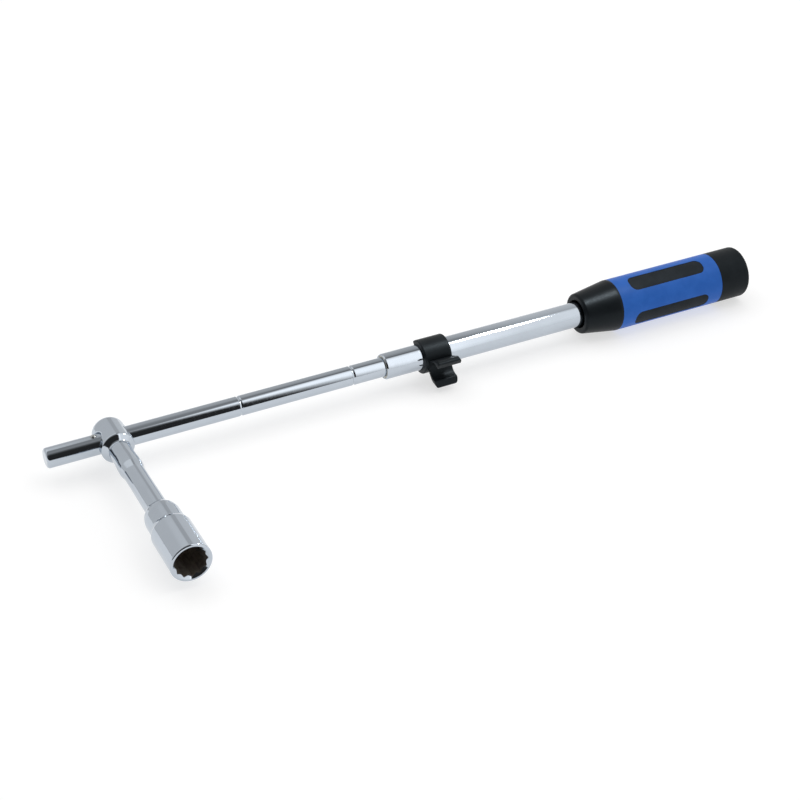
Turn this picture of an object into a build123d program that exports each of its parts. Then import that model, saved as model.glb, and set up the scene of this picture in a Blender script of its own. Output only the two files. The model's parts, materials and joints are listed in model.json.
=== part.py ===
from build123d import *
from math import cos, radians, sin
import os

# Telescopic wheel-nut wrench, millimetres.
# The origin is the centre of the socket's mouth, -Y points out of the mouth, +X runs along
# the bar towards the handle and +Z is up. The bar lies on the line y = bar_y, z = 0, pulled
# right out, with the socket head resting against the stop ball near the bar's free end.

# ---- Driving dimensions ------------------------------------------------------------------
bar_y = 143.0               # socket mouth to the bar's axis

# Socket forging, radii along its own axis
nut_across_flats = 19.0
mouth_r = 13.6
step_r = 11.9
shank_r = 7.25
neck_r = 7.7
head_r = 11.5
head_back = 16.2            # bar axis to the back of the head
nut_recess_depth = 24.0
stud_bore_r = 8.2
stud_bore_depth = 42.0

# Inner rod
rod_r = 7.0
rod_free_x = -46.4          # free end, beyond the head
rod_shoulder_x = 272.2      # where the tail spigot starts
spigot_r = 5.0
spigot_length = 10.0
detent_pitch = 84.0
first_groove_x = 89.0
groove_depth = 0.45
groove_cutter_r = 1.8
head_bore_clearance = 0.08
rod_sleeve_clearance = 0.05

# Stop ball, pressed into the rod's top against its spring
ball_x = -13.0
ball_r = 2.2
ball_centre_z = 6.0
ball_hole_r = 2.26
ball_lip_r = 2.13
ball_lip_z = 6.6
ball_hole_floor_z = -2.0
spring_wire_r = 0.22
spring_coil_r = 1.7
spring_turns = 5

# Outer tube and what sits inside it
tube_r = 9.3
tube_bore_r = 8.1
tube_front_x = 197.5
tube_rear_x = 489.0
sleeve_r = 8.08
front_sleeve_x = 197.9
rear_sleeve_end_x = 272.0
detent_wire_r = 0.45
detent_gap = 1.2
buffer_x = 456.0
plug_x = 464.0

# Handle
handle_bore_r = 9.35
nose_x = 357.3
nose_front_r = 14.9
grip_x = 386.5
grip_r = 19.15
cap_x = 474.3
handle_end_x = 500.0
front_spigot_r = 14.0
rear_spigot_r = 16.0
moulding_gap = 0.05
pad_length = 64.8
pad_width = 12.8
pad_corner_r = 5.2
pad_floor_r = 16.8
pad_face_r = 18.95
first_pad_angle = 71.0      # above the socket's side of the handle

# Storage clip
clip_x = 226.0
clip_width = 20.9
clip_ring_r = 12.3
clip_ring_edge_r = 0.9
clip_tilt = 6.5             # how far the shank jaws hang below the socket's plane
jaw_centre = 19.7
jaw_bore_r = 7.2
jaw_width = 17.8
jaw_inset = 0.6             # from the ring's handle end
jaw_corner_r = 4.5
jaw_edge_r = 1.2
jaw_outline = [             # (out from the tube's axis, height above the jaws' centre line)
    (11.0, 3.4),
    (22.6, 11.3),
    (25.9, 11.2),
    (24.0, 3.5),
    (20.9, -6.0),
    (25.0, -13.2),
    (21.2, -12.2),
    (11.0, -4.2),
]

# ---- Places worked out from them ---------------------------------------------------------
bar_axis = Axis((0, bar_y, 0), (1, 0, 0))
bar_side = Plane(origin=(0, bar_y, 0), x_dir=(1, 0, 0), z_dir=(0, -1, 0))   # local x, y = X, Z
groove_xs = [first_groove_x + detent_pitch * i for i in range(3)]
detent_x = groove_xs[-1]    # the groove engaged when the bar is pulled out
pad_angles = [first_pad_angle + 90 * i for i in range(4)]


def across_bar(x):
    """Plane square to the bar at x, facing the handle."""
    return Plane(origin=(x, bar_y, 0), x_dir=(0, 1, 0), z_dir=(1, 0, 0))


def ring_on_bar(x, length, outer_r, inner_r):
    """Plain sleeve or washer round the bar's axis."""
    with BuildPart() as ring:
        with BuildSketch(across_bar(x)):
            Circle(outer_r)
            Circle(inner_r, mode=Mode.SUBTRACT)
        extrude(amount=length)
    return ring


# ---- Socket forging ----------------------------------------------------------------------
socket_outline = [          # (radius, distance from the mouth, corner radius)
    (0, 0, 0),
    (mouth_r, 0, 1.1),
    (mouth_r, 33.0, 0.8),
    (step_r, 37.2, 3.0),
    (step_r, 48.5, 6.0),
    (11.2, 52.5, 5.0),
    (9.5, 55.8, 2.0),
    (shank_r + 0.15, 57.2, 3.5),
    (shank_r + 0.15, 72.0, 20.0),
    (shank_r, 88.0, 20.0),
    (shank_r, 101.0, 4.0),
    (8.2, 106.5, 2.5),
    (8.2, 112.0, 5.0),
    (neck_r, 119.5, 5.0),
    (neck_r, 129.6, 1.8),
    (head_r, 132.8, 1.8),
    (head_r, bar_y + head_back - 0.6, 7.0),
    (0, bar_y + head_back, 0),
]

with BuildPart() as socket_wrench:
    with BuildSketch(Plane.XY):
        with BuildLine():
            FilletPolyline(
                *[(r, y) for r, y, corner in socket_outline],
                radius=[corner for r, y, corner in socket_outline],
                close=True,
            )
        make_face()
    revolve(axis=Axis.Y)
    # Twelve-point recess: two hexagons, half a flat apart
    with BuildSketch(Plane.XZ):
        for turn in (0, 30):
            RegularPolygon(nut_across_flats / 2, 6, major_radius=False, rotation=turn)
    extrude(amount=-nut_recess_depth, mode=Mode.SUBTRACT)
    # Lead-in, stud clearance bore and its drilled point
    with BuildSketch(Plane.XY):
        with BuildLine():
            Polyline(
                (0, 0),
                (11.9, 0),
                (9.7, 1.6),
                (stud_bore_r, 1.6),
                (stud_bore_r, stud_bore_depth),
                (0, stud_bore_depth + stud_bore_r / 2),
                close=True,
            )
        make_face()
    revolve(axis=Axis.Y, mode=Mode.SUBTRACT)
    # Cross bore for the bar, with a groove for the friction ring
    head_bore_r = rod_r + head_bore_clearance
    bore_mouth_r = 1.0
    with BuildSketch(across_bar(-2 * head_r)):
        Circle(head_bore_r)
    extrude(amount=4 * head_r, mode=Mode.SUBTRACT)
    bore_mouths = socket_wrench.edges(Select.LAST)
    fillet(bore_mouths, radius=bore_mouth_r)
    with BuildSketch(bar_side):
        with Locations((0, head_bore_r)):
            Rectangle(1.6, 2.5)
    revolve(axis=bar_axis, mode=Mode.SUBTRACT)
socket_wrench.part.label = "socket_wrench"

with BuildPart() as bore_ring:
    ring_wire_r = 0.6
    with BuildSketch(bar_side):
        with Locations((0, rod_r + 0.04 + ring_wire_r)):
            Circle(ring_wire_r)
    revolve(axis=bar_axis)
bore_ring.part.label = "bore_ring"

# ---- Inner rod ---------------------------------------------------------------------------
rod_tail_x = rod_shoulder_x + spigot_length
tail_thread_r = 2.5

with BuildPart() as inner_rod:
    with BuildSketch(across_bar(rod_free_x)):
        Circle(rod_r)
    extrude(amount=rod_shoulder_x - rod_free_x)
    fillet(inner_rod.edges().sort_by(Axis.X)[0], radius=2.2)
    with BuildSketch(across_bar(rod_shoulder_x)):
        Circle(spigot_r)
    extrude(amount=spigot_length)
    # Rolled detent grooves
    with BuildSketch(bar_side):
        with Locations([(x, rod_r - groove_depth + groove_cutter_r) for x in groove_xs]):
            Circle(groove_cutter_r)
    revolve(axis=bar_axis, mode=Mode.SUBTRACT)
    # Blind hole for the stop ball, with a staked lip at its mouth
    for hole_r, top_z in ((ball_hole_r, ball_lip_z), (ball_lip_r, rod_r + 1)):
        with BuildSketch(Plane.XY.offset(ball_hole_floor_z)):
            with Locations((ball_x, bar_y)):
                Circle(hole_r)
        extrude(amount=top_z - ball_hole_floor_z, mode=Mode.SUBTRACT)
    # Tapped hole for the tail screw
    with BuildSketch(across_bar(rod_tail_x)):
        Circle(tail_thread_r + moulding_gap)
    extrude(amount=-16, mode=Mode.SUBTRACT)
inner_rod.part.label = "inner_rod"

with BuildPart() as stop_ball:
    with Locations((ball_x, bar_y, ball_centre_z)):
        Sphere(ball_r)
stop_ball.part.label = "stop_ball"

with BuildPart() as stop_spring:
    spring_low_z = ball_hole_floor_z + spring_wire_r + 0.02
    spring_height = ball_centre_z - ball_r - 0.3 - spring_wire_r - spring_low_z
    with BuildLine():
        coil = Helix(
            pitch=spring_height / spring_turns,
            height=spring_height,
            radius=spring_coil_r,
            center=(ball_x, bar_y, spring_low_z),
        )
    with BuildSketch(Plane(origin=coil @ 0, z_dir=coil % 0)):
        Circle(spring_wire_r)
    sweep(is_frenet=True)
stop_spring.part.label = "stop_spring"

tail_bush = ring_on_bar(rod_shoulder_x, spigot_length, tube_bore_r - 0.07, spigot_r + moulding_gap)
tail_bush.part.label = "tail_bush"

washer_thickness = 1.2
tail_washer = ring_on_bar(rod_tail_x, washer_thickness, 6.8, tail_thread_r + 0.2)
tail_washer.part.label = "tail_washer"


def pan_head_screw(seat_x, thread_r, thread_length, head_r, head_height):
    """Screw driven towards -X, its head's underside at seat_x, with a cross recess."""
    with BuildPart() as screw:
        with BuildSketch(across_bar(seat_x)):
            Circle(head_r)
        extrude(amount=head_height)
        fillet(screw.edges().sort_by(Axis.X)[-1], radius=head_height * 0.4)
        with BuildSketch(across_bar(seat_x)):
            Circle(thread_r)
        extrude(amount=-thread_length)
        with BuildSketch(across_bar(seat_x + head_height)):
            for turn in (0, 90):
                Rectangle(head_r * 1.1, head_r * 0.25, rotation=turn)
        extrude(amount=-head_height * 0.6, mode=Mode.SUBTRACT)
    return screw


tail_screw = pan_head_screw(rod_tail_x + washer_thickness, tail_thread_r, 14, 4.6, 3.0)
tail_screw.part.label = "tail_screw"

# ---- Outer tube and its inside -----------------------------------------------------------
with BuildPart() as outer_tube:
    with BuildSketch(bar_side):
        with BuildLine():
            Polyline(
                (tube_front_x, tube_bore_r + 0.3),
                (tube_front_x, tube_r - 0.6),
                (tube_front_x + 0.9, tube_r),
                (tube_rear_x, tube_r),
                (tube_rear_x, tube_bore_r),
                (tube_front_x + 0.5, tube_bore_r),
                close=True,
            )
        make_face()
    revolve(axis=bar_axis)
outer_tube.part.label = "outer_tube"

sleeve_bore_r = rod_r + rod_sleeve_clearance
front_sleeve = ring_on_bar(
    front_sleeve_x, detent_x - detent_gap / 2 - front_sleeve_x, sleeve_r, sleeve_bore_r
)
front_sleeve.part.label = "front_sleeve"

rear_sleeve_x = detent_x + detent_gap / 2
rear_sleeve = ring_on_bar(rear_sleeve_x, rear_sleeve_end_x - rear_sleeve_x, sleeve_r, sleeve_bore_r)
rear_sleeve.part.label = "rear_sleeve"

# Split wire ring that snaps into the rod's grooves
with BuildPart() as detent_ring:
    with BuildSketch(bar_side):
        with Locations((detent_x, rod_r - groove_depth + 0.05 + detent_wire_r)):
            Circle(detent_wire_r)
    revolve(axis=bar_axis, revolution_arc=330)
detent_ring.part.label = "detent_ring"

buffer_disc = ring_on_bar(buffer_x, plug_x - buffer_x, tube_bore_r - moulding_gap, 2.5)
buffer_disc.part.label = "buffer_disc"

clamp_thread_r = 3.0
plug_end_x = tube_rear_x + 0.5
tube_plug = ring_on_bar(plug_x, plug_end_x - plug_x, sleeve_r, clamp_thread_r + moulding_gap)
tube_plug.part.label = "tube_plug"

# ---- Handle ------------------------------------------------------------------------------
nose_counterbore_x = 378.2
grip_front_x = nose_counterbore_x + 0.3

with BuildPart() as nose_cone:
    with BuildSketch(bar_side):
        with BuildLine():
            FilletPolyline(
                (nose_x, 10.8),
                (nose_x, nose_front_r),
                (385.0, grip_r),
                (grip_x, grip_r),
                (grip_x, front_spigot_r + moulding_gap),
                (nose_counterbore_x, front_spigot_r + moulding_gap),
                (nose_counterbore_x, handle_bore_r),
                (363.0, handle_bore_r),
                (361.0, 9.9),
                radius=[0.9, 2.0, 8.0, 0, 0, 0, 0, 0, 0],
                close=True,
            )
        make_face()
    revolve(axis=bar_axis)
nose_cone.part.label = "nose_cone"


def pad_blank(angle, outer_r, gap):
    """Rounded, cylinder-faced pad at an angle round the handle, shrunk by a gap."""
    facing = Plane(
        origin=((grip_x + cap_x) / 2, bar_y, 0),
        x_dir=(1, 0, 0),
        z_dir=(0, -cos(radians(angle)), sin(radians(angle))),
    )
    with BuildPart() as blank:
        with BuildSketch(across_bar(grip_x)):
            Circle(outer_r)
            Circle(pad_floor_r + gap, mode=Mode.SUBTRACT)
        extrude(amount=cap_x - grip_x)
        with BuildSketch(facing):
            RectangleRounded(pad_length - 2 * gap, pad_width - 2 * gap, pad_corner_r - gap)
        extrude(amount=2 * grip_r, mode=Mode.INTERSECT)
    return blank


with BuildPart() as grip_body:
    with BuildSketch(bar_side):
        with BuildLine():
            Polyline(
                (grip_front_x, handle_bore_r),
                (grip_front_x, front_spigot_r),
                (grip_x, front_spigot_r),
                (grip_x, grip_r),
                (cap_x, grip_r),
                (cap_x, rear_spigot_r),
                (tube_rear_x, rear_spigot_r),
                (tube_rear_x, handle_bore_r),
                close=True,
            )
        make_face()
    revolve(axis=bar_axis)
    for angle in pad_angles:
        add(pad_blank(angle, grip_r + 1, 0).part, mode=Mode.SUBTRACT)
grip_body.part.label = "grip_body"

grip_pads = {}
for side, angle in zip(("top", "back", "bottom", "front"), pad_angles):
    pad = pad_blank(angle, pad_face_r, moulding_gap)
    pad.part.label = f"grip_pad_{side}"
    grip_pads[side] = pad

clamp_washer = ring_on_bar(plug_end_x, 1.5, 13.0, clamp_thread_r + 0.2)
clamp_washer.part.label = "clamp_washer"

clamp_screw = pan_head_screw(plug_end_x + 1.5, clamp_thread_r, 20, 5.2, 3.0)
clamp_screw.part.label = "clamp_screw"

cap_floor_x = 494.6
with BuildPart() as end_cap:
    with BuildSketch(bar_side):
        with BuildLine():
            FilletPolyline(
                (cap_x, rear_spigot_r + moulding_gap),
                (cap_x, grip_r),
                (handle_end_x, grip_r),
                (handle_end_x, 0),
                (cap_floor_x, 0),
                (cap_floor_x, rear_spigot_r + moulding_gap),
                radius=[0, 0, 2.2, 0, 0, 0],
                close=True,
            )
        make_face()
    revolve(axis=bar_axis)
end_cap.part.label = "end_cap"

# ---- Storage clip ------------------------------------------------------------------------
tilt = radians(clip_tilt)
clip_out = Vector(0, -cos(tilt), -sin(tilt))        # from the tube towards the jaws
clip_end_x = clip_x + clip_width
clip_section = Plane(origin=(clip_end_x, bar_y, 0), x_dir=clip_out, z_dir=(-1, 0, 0))
jaw_face = Plane(
    origin=(clip_end_x - jaw_inset - jaw_width / 2, bar_y, 0), x_dir=(1, 0, 0), z_dir=clip_out
)

with BuildPart() as clip_jaws:
    with BuildSketch(clip_section.offset(jaw_inset)):
        with BuildLine():
            Polyline(*jaw_outline, close=True)
        make_face()
        with Locations((jaw_centre, 0)):
            Circle(jaw_bore_r, mode=Mode.SUBTRACT)
    extrude(amount=jaw_width)
    fillet(clip_jaws.edges().filter_by(Axis.X).sort_by(Axis.Y)[:6], radius=jaw_edge_r)
    with BuildSketch(jaw_face):
        RectangleRounded(jaw_width, 25.6, jaw_corner_r)
    extrude(amount=2 * jaw_centre, mode=Mode.INTERSECT)

with BuildPart() as storage_clip:
    with BuildSketch(clip_section):
        Circle(clip_ring_r)
        with BuildLine():
            back = -2 * clip_ring_r
            Polyline((0, 0), (back, 0.78 * back), (back, -0.78 * back), close=True)
        make_face(mode=Mode.SUBTRACT)
    extrude(amount=clip_width)
    ring_rims = storage_clip.edges().filter_by(GeomType.CIRCLE)
    fillet(ring_rims, radius=clip_ring_edge_r)
    add(clip_jaws.part)
    with BuildSketch(clip_section):
        Circle(tube_r + 0.05)
    extrude(amount=clip_width, mode=Mode.SUBTRACT)
storage_clip.part.label = "storage_clip"

# ---- Output ------------------------------------------------------------------------------
pieces = [
    socket_wrench,
    bore_ring,
    inner_rod,
    stop_ball,
    stop_spring,
    tail_bush,
    tail_washer,
    tail_screw,
    outer_tube,
    front_sleeve,
    rear_sleeve,
    detent_ring,
    buffer_disc,
    tube_plug,
    nose_cone,
    grip_body,
    *grip_pads.values(),
    clamp_washer,
    clamp_screw,
    end_cap,
    storage_clip,
]

os.makedirs("parts", exist_ok=True)
for piece in pieces:
    export_step(piece.part, f"parts/{piece.part.label}.step")
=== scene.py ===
import json
import math

import bpy
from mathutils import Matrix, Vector


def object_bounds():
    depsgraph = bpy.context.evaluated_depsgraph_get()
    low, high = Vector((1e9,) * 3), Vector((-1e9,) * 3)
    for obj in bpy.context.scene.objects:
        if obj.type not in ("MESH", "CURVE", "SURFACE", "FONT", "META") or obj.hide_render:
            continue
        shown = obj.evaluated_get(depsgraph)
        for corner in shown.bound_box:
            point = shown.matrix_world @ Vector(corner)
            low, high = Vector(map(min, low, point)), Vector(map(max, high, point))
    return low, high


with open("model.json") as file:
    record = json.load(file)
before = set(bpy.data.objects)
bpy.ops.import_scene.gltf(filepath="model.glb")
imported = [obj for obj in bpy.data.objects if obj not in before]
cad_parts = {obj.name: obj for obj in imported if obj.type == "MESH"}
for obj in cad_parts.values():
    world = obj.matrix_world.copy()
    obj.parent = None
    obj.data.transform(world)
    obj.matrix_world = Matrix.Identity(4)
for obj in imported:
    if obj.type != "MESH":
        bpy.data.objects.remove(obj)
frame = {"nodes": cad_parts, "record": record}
nodes = frame["nodes"]
cad_low, cad_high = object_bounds()
MM = 0.001


# ---- Node helpers ------------------------------------------------------------------------
def link(tree, value, socket):
    """Feeds a socket from another socket, or sets its own value."""
    if isinstance(value, bpy.types.NodeSocket):
        tree.links.new(value, socket)
    else:
        socket.default_value = value


def arithmetic(tree, operation, *values):
    node = tree.nodes.new("ShaderNodeMath")
    node.operation = operation
    for value, socket in zip(values, node.inputs):
        link(tree, value, socket)
    return node.outputs[0]


def smooth_step(tree, value, start, end, low=0.0, high=1.0):
    node = tree.nodes.new("ShaderNodeMapRange")
    node.interpolation_type = "SMOOTHSTEP"
    fed = {"Value": value, "From Min": start, "From Max": end, "To Min": low, "To Max": high}
    for name, source in fed.items():
        link(tree, source, node.inputs[name])
    return node.outputs["Result"]


def ramp(tree, value, stops):
    """Grey or colour ramp; stops are (position, grey) or (position, (r, g, b))."""
    node = tree.nodes.new("ShaderNodeValToRGB")
    elements = node.color_ramp.elements
    while len(elements) < len(stops):
        elements.new(1.0)
    for element, (position, tone) in zip(elements, stops):
        element.position = position
    for element, (position, tone) in zip(elements, stops):
        colour = tone if isinstance(tone, tuple) else (tone, tone, tone)
        element.color = (*colour, 1.0)
    link(tree, value, node.inputs["Fac"])
    return node.outputs["Color"]


def mix_colour(tree, factor, a, b, blend="MIX"):
    node = tree.nodes.new("ShaderNodeMix")
    node.data_type = "RGBA"
    node.blend_type = blend
    for socket, value in ((node.inputs[0], factor), (node.inputs[6], a), (node.inputs[7], b)):
        value = (*value, 1.0) if isinstance(value, tuple) and len(value) == 3 else value
        link(tree, value, socket)
    return node.outputs[2]


def noise(tree, scale, stretch=(1, 1, 1), detail=4.0, roughness=0.55, distortion=0.0):
    """Noise in the object's own coordinates, in features per metre."""
    place = tree.nodes.new("ShaderNodeTexCoord")
    mapping = tree.nodes.new("ShaderNodeMapping")
    mapping.inputs["Scale"].default_value = stretch
    tree.links.new(place.outputs["Object"], mapping.inputs["Vector"])
    node = tree.nodes.new("ShaderNodeTexNoise")
    node.inputs["Scale"].default_value = scale
    node.inputs["Detail"].default_value = detail
    node.inputs["Roughness"].default_value = roughness
    node.inputs["Distortion"].default_value = distortion
    tree.links.new(mapping.outputs["Vector"], node.inputs["Vector"])
    return node.outputs["Fac"]


def bump(tree, height, strength, distance, under=None):
    node = tree.nodes.new("ShaderNodeBump")
    node.inputs["Strength"].default_value = strength
    node.inputs["Distance"].default_value = distance
    link(tree, height, node.inputs["Height"])
    if under is not None:
        tree.links.new(under, node.inputs["Normal"])
    return node.outputs["Normal"]


def new_material(name):
    material = bpy.data.materials.new(name)
    material.use_nodes = True
    return material, material.node_tree, material.node_tree.nodes["Principled BSDF"]


# ---- Materials ---------------------------------------------------------------------------
CHROME = (0.52, 0.57, 0.63)


def inside_socket(tree):
    """1 in the recess behind its plated lead-in cone, where plating hardly reaches, 0 elsewhere."""
    recess_r = 11.2 * MM        # just outside the twelve points
    cone_r = 12.0 * MM          # just outside the lead-in cone's 11.9 mm at the mouth
    cone_slope = 1.375          # radius lost per length along Y
    bore_end_y = 46.4 * MM
    place = tree.nodes.new("ShaderNodeTexCoord")
    split = tree.nodes.new("ShaderNodeSeparateXYZ")
    tree.links.new(place.outputs["Object"], split.inputs[0])
    x, y, z = split.outputs
    x_squared, z_squared = (arithmetic(tree, "MULTIPLY", side, side) for side in (x, z))
    radius = arithmetic(tree, "SQRT", arithmetic(tree, "ADD", x_squared, z_squared))
    near = smooth_step(tree, radius, recess_r, recess_r + 0.3 * MM, 1.0, 0.0)
    cone = arithmetic(tree, "ADD", radius, arithmetic(tree, "MULTIPLY", y, cone_slope))
    past_lip = smooth_step(tree, cone, cone_r, cone_r + 0.25 * MM)
    before_shank = smooth_step(tree, y, bore_end_y, bore_end_y + 1.0 * MM, 1.0, 0.0)
    return arithmetic(tree, "MULTIPLY", near, arithmetic(tree, "MULTIPLY", past_lip, before_shank))


def chrome(name, tint, polish, sheen_range, waviness, line_stretch, oxide_mask=None):
    """Polished plate: fine lines left by the polishing wheel, over the steel's slow waves."""
    material, tree, shader = new_material(name)
    clouds = noise(tree, 60, detail=3)
    lines = noise(tree, 900, stretch=line_stretch, detail=5, roughness=0.6)
    darker = tuple(0.93 * c for c in tint)
    colour = mix_colour(tree, clouds, darker, tint)
    sheen = smooth_step(tree, lines, 0.3, 0.7, *sheen_range)
    shader.inputs["Metallic"].default_value = 1.0
    if oxide_mask is not None:
        mask = oxide_mask(tree)
        scale = mix_colour(tree, noise(tree, 400, detail=5), (0.20, 0.18, 0.16), (0.50, 0.46, 0.42))
        colour = mix_colour(tree, mask, colour, scale)
        sheen = arithmetic(tree, "ADD", sheen, arithmetic(tree, "MULTIPLY", mask, 0.24))
        bare = arithmetic(tree, "SUBTRACT", 1.0, arithmetic(tree, "MULTIPLY", mask, 0.30))
        link(tree, bare, shader.inputs["Metallic"])
    link(tree, colour, shader.inputs["Base Color"])
    link(tree, sheen, shader.inputs["Roughness"])
    waves = bump(tree, noise(tree, 45, detail=2), waviness, 0.2 * MM)
    link(tree, bump(tree, lines, polish, 0.02 * MM, under=waves), shader.inputs["Normal"])
    return material


def moulded(name, base, lighter, sheen_range, grain_scale, grain_depth, specular=0.5):
    """Injection moulding with a fine spark-eroded grain and slightly uneven colour."""
    material, tree, shader = new_material(name)
    clouds = noise(tree, 90, detail=5, roughness=0.6)
    grain = noise(tree, grain_scale, detail=3, roughness=0.6)
    colour = mix_colour(tree, smooth_step(tree, clouds, 0.35, 0.65), base, lighter)
    link(tree, colour, shader.inputs["Base Color"])
    link(tree, smooth_step(tree, grain, 0.3, 0.7, *sheen_range), shader.inputs["Roughness"])
    shader.inputs["Specular IOR Level"].default_value = specular
    shader.inputs["Specular Tint"].default_value = (0.76, 0.90, 1.0, 1.0)
    link(tree, bump(tree, grain, 0.6, grain_depth), shader.inputs["Normal"])
    return material


AROUND_BAR = (1.0, 0.02, 0.02)      # lines round the bar vary along X only
AROUND_SOCKET = (0.02, 1.0, 0.02)   # lines round the socket vary along Y only

finishes = {
    "chrome_forging": chrome(
        "forging_plate", CHROME, 0.12, (0.05, 0.11), 0.22, AROUND_SOCKET, oxide_mask=inside_socket
    ),
    "chrome_rod": chrome("rod_plate", CHROME, 0.10, (0.035, 0.075), 0.04, AROUND_BAR),
    "chrome_tube": chrome("tube_plate", CHROME, 0.10, (0.04, 0.09), 0.12, AROUND_BAR),
    "steel_bright": chrome("zinc_steel", (0.46, 0.47, 0.47), 0.3, (0.18, 0.3), 0.1, (1, 1, 1)),
    "spring_steel": chrome("spring_wire", (0.35, 0.34, 0.33), 0.3, (0.2, 0.35), 0.1, (1, 1, 1)),
    "nylon_sleeve": moulded(
        "natural_nylon", (0.62, 0.59, 0.5), (0.72, 0.69, 0.6), (0.3, 0.45), 1500, 0.02 * MM
    ),
    "seal_rubber": moulded(
        "seal_rubber", (0.012, 0.012, 0.012), (0.02, 0.02, 0.02), (0.5, 0.7), 1500, 0.03 * MM
    ),
    "black_grip": moulded(
        "black_polypropylene", (0.0035, 0.0050, 0.0062), (0.0055, 0.0070, 0.0086),
        (0.33, 0.44), 1400, 0.015 * MM, specular=0.17,
    ),
    "blue_grip": moulded(
        "blue_polypropylene", (0.016, 0.117, 0.49), (0.021, 0.131, 0.53),
        (0.36, 0.48), 1500, 0.02 * MM, specular=0.20,
    ),
    "black_pad": moulded(
        "pad_elastomer", (0.0070, 0.0095, 0.0125), (0.0120, 0.0155, 0.0200),
        (0.50, 0.66), 1800, 0.03 * MM, specular=0.17,
    ),
    "black_cap": moulded(
        "cap_elastomer", (0.0035, 0.0055, 0.0072), (0.0062, 0.0082, 0.0105),
        (0.42, 0.56), 1700, 0.03 * MM, specular=0.15,
    ),
    "clip_plastic": moulded(
        "clip_nylon", (0.0050, 0.0065, 0.0080), (0.0085, 0.0105, 0.0125),
        (0.38, 0.52), 1600, 0.02 * MM, specular=0.20,
    ),
}

for subpart in frame["record"]["subparts"]:
    for slot in nodes[subpart["node"]].material_slots:
        slot.material = finishes[subpart["material_slot"]]


# ---- Camera ------------------------------------------------------------------------------
def make_camera():
    """The photograph's view: from the front left and above, with a long lens."""
    azimuth, elevation = math.radians(-26.90), math.radians(33.69)
    target, distance = Vector((0.1748, 0.0707, 0.0220)), 1.118
    data = bpy.data.cameras.new("camera")
    data.sensor_width = 36.0
    data.lens = 76.5
    camera = bpy.data.objects.new("camera", data)
    bpy.context.scene.collection.objects.link(camera)
    forward = Vector((
        -math.sin(azimuth) * math.cos(elevation),
        math.cos(azimuth) * math.cos(elevation),
        -math.sin(elevation),
    ))
    camera.location = target - distance * forward
    camera.rotation_euler = forward.to_track_quat("-Z", "Y").to_euler()
    bpy.context.scene.camera = camera


# ---- Studio ------------------------------------------------------------------------------
def make_floor():
    half = 6.0
    mesh = bpy.data.meshes.new("floor")
    corners = [(-half, -half), (half, -half), (half, half), (-half, half)]
    mesh.from_pydata([(x, y, cad_low.z) for x, y in corners], [], [(0, 1, 2, 3)])
    floor = bpy.data.objects.new("floor", mesh)
    bpy.context.scene.collection.objects.link(floor)
    material, tree, shader = new_material("floor_paper")
    paper = mix_colour(tree, noise(tree, 12), (0.44, 0.44, 0.44), (0.46, 0.46, 0.46))
    link(tree, paper, shader.inputs["Base Color"])
    shader.inputs["Roughness"].default_value = 0.9
    shader.inputs["Specular IOR Level"].default_value = 0.1
    shader.inputs["Emission Color"].default_value = (1.0, 1.0, 1.0, 1.0)
    shader.inputs["Emission Strength"].default_value = 0.62
    mesh.materials.append(material)


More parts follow.
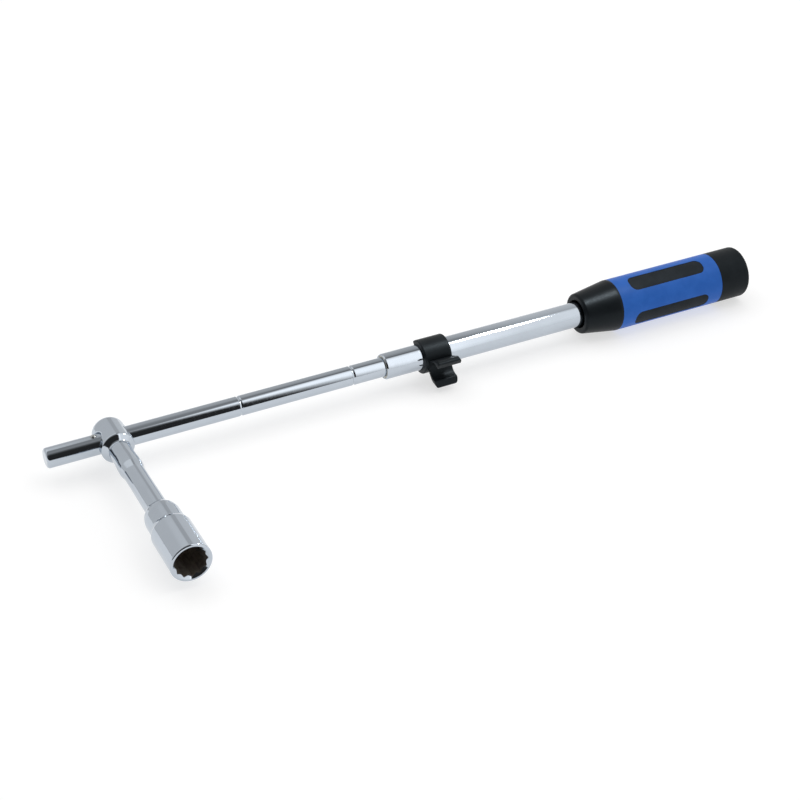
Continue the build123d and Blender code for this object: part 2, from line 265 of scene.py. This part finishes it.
def make_world():
    """A studio seen from the bar. rise runs round the bar, from the front horizon (0) over the
    top (0.5) to the back horizon (1); slope runs along it, towards the handle."""
    world = bpy.data.worlds.new("studio")
    bpy.context.scene.world = world
    world.use_nodes = True
    tree = world.node_tree
    place = tree.nodes.new("ShaderNodeTexCoord")
    split = tree.nodes.new("ShaderNodeSeparateXYZ")
    tree.links.new(place.outputs["Generated"], split.inputs[0])
    x, y, z = split.outputs
    back_to_front = arithmetic(tree, "MULTIPLY", y, -1.0)
    rise = arithmetic(tree, "DIVIDE", arithmetic(tree, "ARCTAN2", z, back_to_front), math.pi)
    across = arithmetic(tree, "SQRT", arithmetic(tree, "SUBTRACT", 1.0, arithmetic(tree, "MULTIPLY", x, x)))
    slope = arithmetic(tree, "DIVIDE", x, arithmetic(tree, "MAXIMUM", across, 0.001))

    degrees = 1 / 180
    dark_side = ramp(tree, rise, [
        (0 * degrees, 0.10), (8 * degrees, 0.025), (50 * degrees, 0.03), (62 * degrees, 0.12),
        (75 * degrees, 0.34), (104 * degrees, 0.30), (112 * degrees, 1.0), (133 * degrees, 0.95),
        (142 * degrees, 0.72), (180 * degrees, 0.72),
    ])
    bright_side = ramp(tree, rise, [
        (0 * degrees, 0.80), (30 * degrees, 1.0), (76 * degrees, 1.0), (90 * degrees, 0.75),
        (101 * degrees, 0.10), (110 * degrees, 0.2), (130 * degrees, 0.33), (145 * degrees, 0.36),
        (180 * degrees, 0.37),
    ])
    edge = ramp(tree, rise, [
        (0 * degrees, 0.39), (40 * degrees, 0.35), (76 * degrees, 0.26), (92 * degrees, 0.34),
        (104 * degrees, 0.30), (112 * degrees, 0.20), (180 * degrees, 0.20),
    ])
    half_width = 0.05
    edge_start = arithmetic(tree, "SUBTRACT", edge, half_width)
    edge_end = arithmetic(tree, "ADD", edge, half_width)
    side = smooth_step(tree, slope, edge_start, edge_end)
    box_gain = 1.62
    bright = mix_colour(tree, 1.0, bright_side, (box_gain,) * 3, blend="MULTIPLY")
    far = smooth_step(tree, slope, 0.43, 0.52)
    bright = mix_colour(tree, far, bright, mix_colour(tree, 0.6, bright, (0.9, 0.9, 0.9)))
    studio = mix_colour(tree, side, dark_side, bright)
    background = tree.nodes["Background"]
    link(tree, studio, background.inputs["Color"])
    background.inputs["Strength"].default_value = 1.0


def aim(light, target):
    light.rotation_euler = (target - light.location).to_track_quat("-Z", "Y").to_euler()


def make_lights():
    # Overhead softbox that whitens the floor; it adds no reflection of its own
    data = bpy.data.lights.new("overhead", "AREA")
    data.shape = "RECTANGLE"
    data.size, data.size_y = 2.4, 1.8
    data.energy = 14
    light = bpy.data.objects.new("overhead", data)
    bpy.context.scene.collection.objects.link(light)
    middle = (cad_low + cad_high) / 2
    light.location = middle + Vector((0.1, 0.3, 1.6))
    aim(light, middle)
    light.visible_glossy = False
    light.visible_camera = False

    # Small softbox close above the nose cone, only for the highlight along its top
    nose_top = Vector((0.372, 0.1345, 0.0147))
    data = bpy.data.lights.new("top_box", "AREA")
    data.shape = "SQUARE"
    data.size = 0.08
    data.energy = 0.85
    top_box = bpy.data.objects.new("top_box", data)
    bpy.context.scene.collection.objects.link(top_box)
    top_box.location = nose_top + 0.35 * Vector((0.227, -0.137, 0.963))
    aim(top_box, nose_top)
    top_box.visible_diffuse = False
    top_box.visible_camera = False


make_camera()
make_floor()
make_world()
make_lights()
bpy.context.scene.view_settings.view_transform = "Standard"
